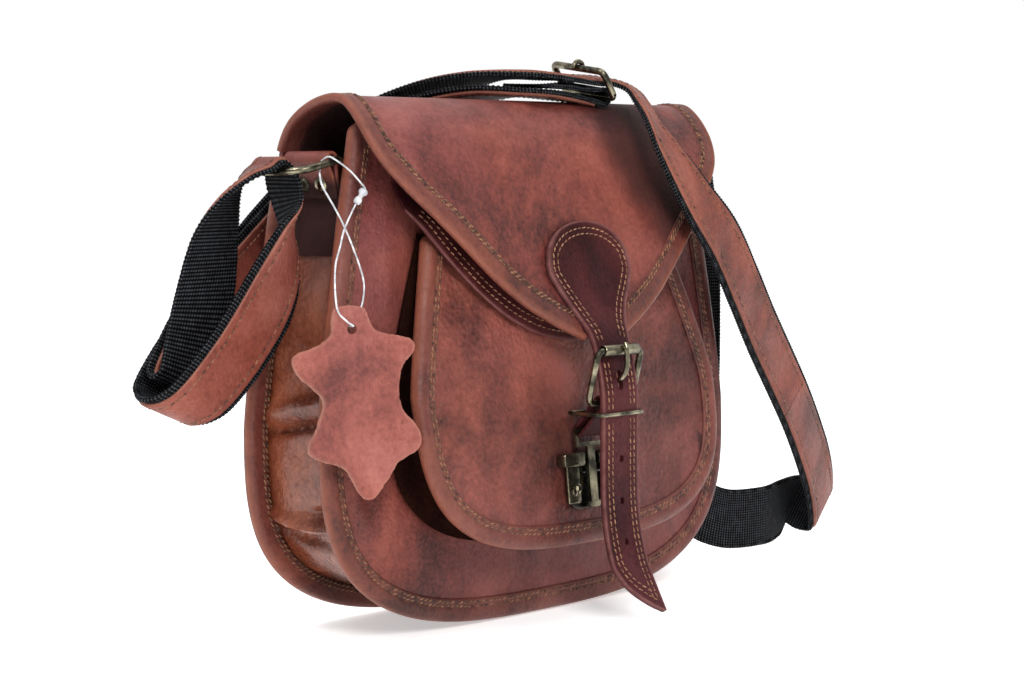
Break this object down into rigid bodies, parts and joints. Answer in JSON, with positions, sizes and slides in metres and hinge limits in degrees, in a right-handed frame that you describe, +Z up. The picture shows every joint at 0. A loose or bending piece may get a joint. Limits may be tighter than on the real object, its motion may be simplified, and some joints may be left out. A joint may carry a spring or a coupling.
{
  "type": "crossbody satchel",
  "caption": "Brown leather crossbody satchel with a deep front flap, a gusseted front pocket, a buckled closure strap on a pinch clip, and a shoulder strap looped through side rings.",
  "frame": {"origin": "middle of the back panel's bottom edge, on its outer face, on the surface that the bag stands on", "axes": "+X across the bag to the right of someone facing its front, -Y out of the front, +Z up"},
  "size_m": [0.4924, 0.1453, 0.2639],
  "materials": {
    "mottled_brown_leather": "reddish brown, mottled, satin",
    "welt_leather": "orange brown, burnished edge",
    "tan_gusset_leather": "soft tan, creased",
    "dark_brown_leather": "dark purple brown, satin",
    "strap_facing_leather": "tan brown, satin",
    "tag_leather": "reddish brown, matt",
    "black_lining_cloth": "plain weave, matt",
    "black_webbing": "ribbed weave, matt",
    "antique_brass": "antique plated, satin",
    "dark_plated_steel": "dark plated, satin",
    "clear_nylon": "clear, glossy"
  },
  "bodies": {
    "bag_body": {"back_panel": "mottled_brown_leather", "back_welt": "welt_leather", "front_panel": "mottled_brown_leather", "front_welt": "welt_leather", "main_gusset": "tan_gusset_leather", "lining": "black_lining_cloth", "pocket_front": "mottled_brown_leather", "pocket_welt": "welt_leather", "pocket_gusset": "dark_brown_leather", "clip_base": "dark_plated_steel", "clip_pin_left": "antique_brass", "clip_pin_right": "antique_brass", "clip_spring": "dark_plated_steel", "ring_tab_left": "mottled_brown_leather", "ring_tab_right": "mottled_brown_leather", "tab_rivet_left_1": "antique_brass", "tab_rivet_left_2": "antique_brass", "tab_rivet_right_1": "antique_brass", "tab_rivet_right_2": "antique_brass", "shoulder_strap_webbing": "black_webbing", "shoulder_strap_facing_short": "strap_facing_leather", "shoulder_strap_facing_long": "strap_facing_leather"},
    "main_flap": {"main_flap": "mottled_brown_leather", "flap_welt": "welt_leather", "closure_strap": "dark_brown_leather", "closure_buckle_frame": "antique_brass", "buckle_tab": "dark_brown_leather", "clip_tongue": "antique_brass", "strap_buckle_frame": "antique_brass"},
    "pocket_flap": {"pocket_flap": "dark_brown_leather"},
    "closure_prong": {"buckle_prong": "antique_brass"},
    "closure_roller": {"buckle_roller": "antique_brass"},
    "closure_keeper": {"buckle_keeper": "antique_brass"},
    "clip_lever_left": {"clip_lever_left": "antique_brass"},
    "clip_lever_right": {"clip_lever_right": "antique_brass"},
    "strap_prong": {"strap_buckle_prong": "antique_brass"},
    "ring_left": {"ring_left": "antique_brass"},
    "ring_right": {"ring_right": "antique_brass"},
    "hang_tag": {"hang_tag": "tag_leather", "tag_loop": "clear_nylon", "tag_lock": "clear_nylon"}
  },
  "joints": [
    {"name": "main_flap_hinge", "type": "hinge", "parent": "bag_body", "child": "main_flap", "pos_m": [0, -0.0015, 0.21435], "axis": [-1, 0, 0], "range_deg": [0, 90], "deforming": ["shoulder_strap_webbing", "shoulder_strap_facing_short", "shoulder_strap_facing_long"]},
    {"name": "pocket_flap_hinge", "type": "hinge", "parent": "bag_body", "child": "pocket_flap", "pos_m": [0, -0.051, 0.207], "axis": [-1, 0, 0], "range_deg": [0, 36]},
    {"name": "clip_lever_left_pinch", "type": "hinge", "parent": "bag_body", "child": "clip_lever_left", "pos_m": [-0.01085, -0.08789, 0.06241], "axis": [0, 0.9942, -0.1076], "range_deg": [0, 8], "stiffness_Nm_per_rad": 0.05, "deforming": ["clip_spring"]},
    {"name": "clip_lever_right_pinch", "type": "hinge", "parent": "bag_body", "child": "clip_lever_right", "pos_m": [0.01085, -0.08789, 0.06241], "axis": [0, 0.9942, -0.1076], "range_deg": [-8, 0], "deforming": ["clip_spring"]},
    {"name": "roller_spin", "type": "hinge", "parent": "main_flap", "child": "closure_roller", "pos_m": [0, -0.10419, 0.12733], "axis": [1, 0, 0], "continuous": true},
    {"name": "closure_prong_tilt", "type": "hinge", "parent": "main_flap", "child": "closure_prong", "pos_m": [0, -0.09803, 0.10279], "axis": [1, 0, 0], "range_deg": [0, 12]},
    {"name": "keeper_slide", "type": "slide", "parent": "main_flap", "child": "closure_keeper", "axis": [0, 0, 1], "range_m": [0, 0.002]},
    {"name": "strap_prong_tilt", "type": "hinge", "parent": "main_flap", "child": "strap_prong", "pos_m": [0.0406, -0.04215, 0.25977], "axis": [-0.1005, -0.9849, -0.1407], "range_deg": [0, 60], "deforming": ["shoulder_strap_webbing"]},
    {"name": "ring_left_swing", "type": "hinge", "parent": "bag_body", "child": "ring_left", "pos_m": [-0.12253, -0.02851, 0.2145], "axis": [0, 1, 0], "range_deg": [0, 30], "deforming": ["shoulder_strap_webbing", "shoulder_strap_facing_long"]},
    {"name": "ring_right_swing", "type": "hinge", "parent": "bag_body", "child": "ring_right", "pos_m": [0.12253, -0.02851, 0.2145], "axis": [0, -1, 0], "range_deg": [0, 30], "deforming": ["shoulder_strap_webbing", "shoulder_strap_facing_short"]},
    {"name": "tag_plumb", "type": "hinge", "parent": "ring_left", "child": "hang_tag", "pos_m": [-0.129, -0.0467, 0.2127], "axis": [0, 1, 0], "range_deg": [-30, 0]}
  ],
  "couplings": [
    {"joint": "pocket_flap_hinge", "follows": "main_flap_hinge", "ratio": 0.4},
    {"joint": "clip_lever_right_pinch", "follows": "clip_lever_left_pinch", "ratio": -1},
    {"joint": "tag_plumb", "follows": "ring_left_swing", "ratio": -1}
  ]
}
